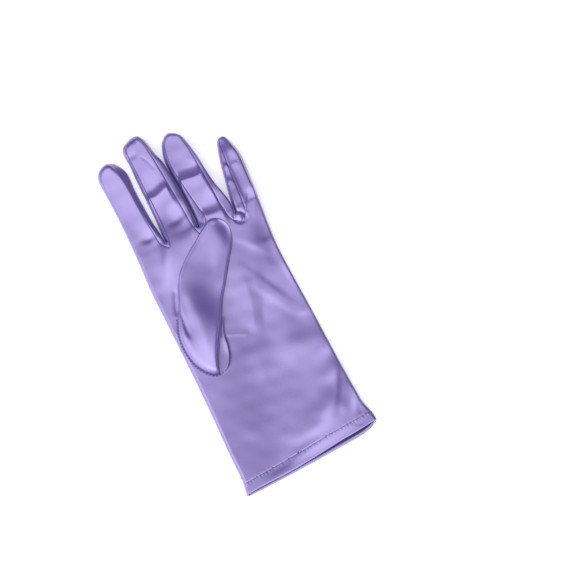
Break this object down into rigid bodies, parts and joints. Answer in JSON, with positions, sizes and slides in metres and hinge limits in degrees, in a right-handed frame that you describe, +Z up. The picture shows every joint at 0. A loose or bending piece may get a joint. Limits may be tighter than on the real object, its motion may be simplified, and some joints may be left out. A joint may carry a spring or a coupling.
{
  "type": "satin dress glove",
  "caption": "Wrist-length left-hand dress glove in stretch satin, lying palm up with its thumb folded over the palm, open at the stitched cuff.",
  "frame": {"origin": "centre of the glove's footprint, on the surface that it lies on", "axes": "+X towards the little finger, +Y from the cuff towards the fingertips, +Z up out of the palm"},
  "size_m": [0.0928, 0.23, 0.0157],
  "materials": {
    "satin": "lilac stretch satin with a soft sheen",
    "satin_gusset": "the same satin between the fingers",
    "satin_hem": "the same satin, turned over and stitched"
  },
  "bodies": {
    "root": {"palm_panel": "satin", "index_front": "satin", "middle_front": "satin", "ring_front": "satin", "little_front": "satin", "back_panel": "satin", "fourchette_index_middle": "satin_gusset", "fourchette_middle_ring": "satin_gusset", "fourchette_ring_little": "satin_gusset", "thumb": "satin", "cuff_hem": "satin_hem"}
  },
  "joints": []
}
